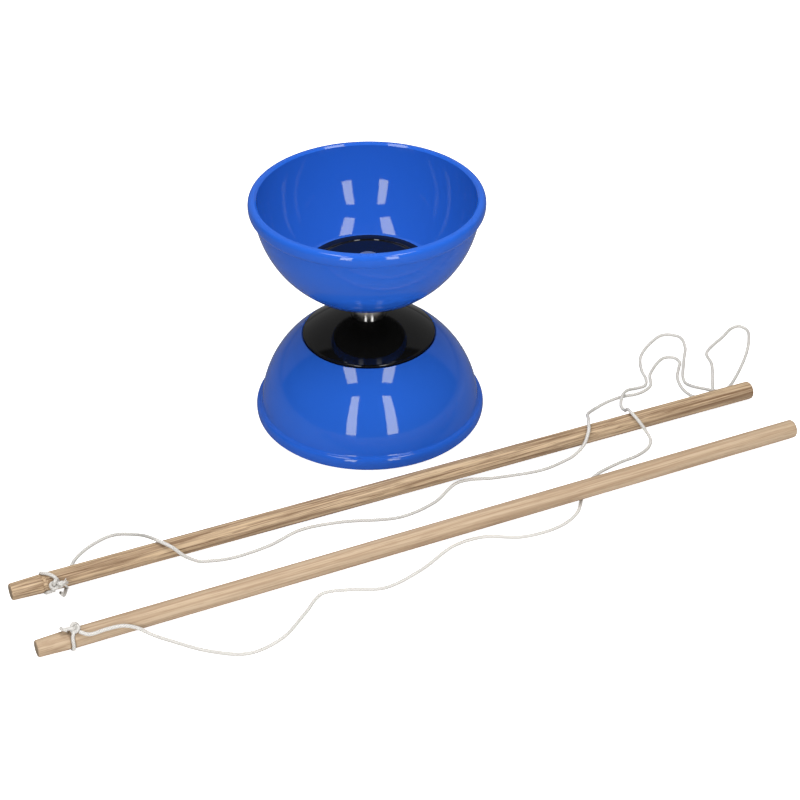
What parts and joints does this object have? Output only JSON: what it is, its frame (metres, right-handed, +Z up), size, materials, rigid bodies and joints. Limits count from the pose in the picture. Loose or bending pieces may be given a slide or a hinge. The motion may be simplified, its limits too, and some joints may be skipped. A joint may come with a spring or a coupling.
{
  "type": "diabolo",
  "caption": "Bearing diabolo: deep glossy cups joined back to back on a freewheeling polished axle, with grooved wooden handsticks tied to the ends of a long string.",
  "frame": {"origin": "centre of the lower cup's rim, on the spool's axis, in the plane that it stands on", "axes": "+Z up along the spool's axis; +X along both handsticks from their tied tips to their butts; +Y from the sticks towards the spool and past it"},
  "size_m": [0.4432, 0.2218, 0.1274],
  "materials": {
    "blue_plastic": "glossy royal blue",
    "black_plastic": "glossy black",
    "polished_steel": "polished",
    "bolt_steel": "zinc plated, slightly yellow",
    "race_steel": "ground",
    "ball_steel": "polished",
    "cage_brass": "pressed",
    "near_wood": "bare, sanded, light tan",
    "far_wood": "bare, sanded, with browner streaks",
    "string": "off-white braid"
  },
  "bodies": {
    "spool": {"lower_cup": "blue_plastic", "upper_cup": "blue_plastic", "lower_dome": "black_plastic", "upper_dome": "black_plastic", "lower_disc": "black_plastic", "upper_disc": "black_plastic", "axle_bolt": "bolt_steel", "axle_nut": "bolt_steel", "lower_washer": "bolt_steel", "upper_washer": "bolt_steel", "bearing_spacer": "bolt_steel", "lower_inner_race": "race_steel", "upper_inner_race": "race_steel", "near_string": "string", "far_string": "string", "string_bight": "string"},
    "axle": {"axle_sleeve": "polished_steel", "lower_outer_race": "race_steel", "upper_outer_race": "race_steel"},
    "bearing_cages": {"lower_balls": "ball_steel", "upper_balls": "ball_steel", "lower_cage": "cage_brass", "upper_cage": "cage_brass"},
    "near_tie": {"near_loop": "string", "near_knot": "string"},
    "far_tie": {"far_loop": "string", "far_knot": "string"},
    "near_handstick": {"near_stick": "near_wood"},
    "far_handstick": {"far_stick": "far_wood"}
  },
  "joints": [
    {"name": "axle_spin", "type": "hinge", "parent": "spool", "child": "axle", "pos_m": [0, 0, 0.0637], "axis": [0, 0, 1], "continuous": true},
    {"name": "cage_spin", "type": "hinge", "parent": "spool", "child": "bearing_cages", "pos_m": [0, 0, 0.0637], "axis": [0, 0, 1], "continuous": true},
    {"name": "near_stick_shift", "type": "slide", "parent": "spool", "child": "near_tie", "axis": [1, 0, 0], "range_m": [0, 0.05], "deforming": ["near_string"]},
    {"name": "far_stick_shift", "type": "slide", "parent": "spool", "child": "far_tie", "axis": [1, 0, 0], "range_m": [0, 0.05], "deforming": ["far_string"]},
    {"name": "near_stick_roll", "type": "hinge", "parent": "near_tie", "child": "near_handstick", "pos_m": [-0.2059, -0.1222, 0.00591], "axis": [1, 0, 0.0037], "continuous": true},
    {"name": "far_stick_roll", "type": "hinge", "parent": "far_tie", "child": "far_handstick", "pos_m": [-0.205, -0.079, 0.00705], "axis": [1, 0, -0.0059], "continuous": true}
  ],
  "couplings": [
    {"joint": "cage_spin", "follows": "axle_spin", "ratio": 0.5667}
  ]
}
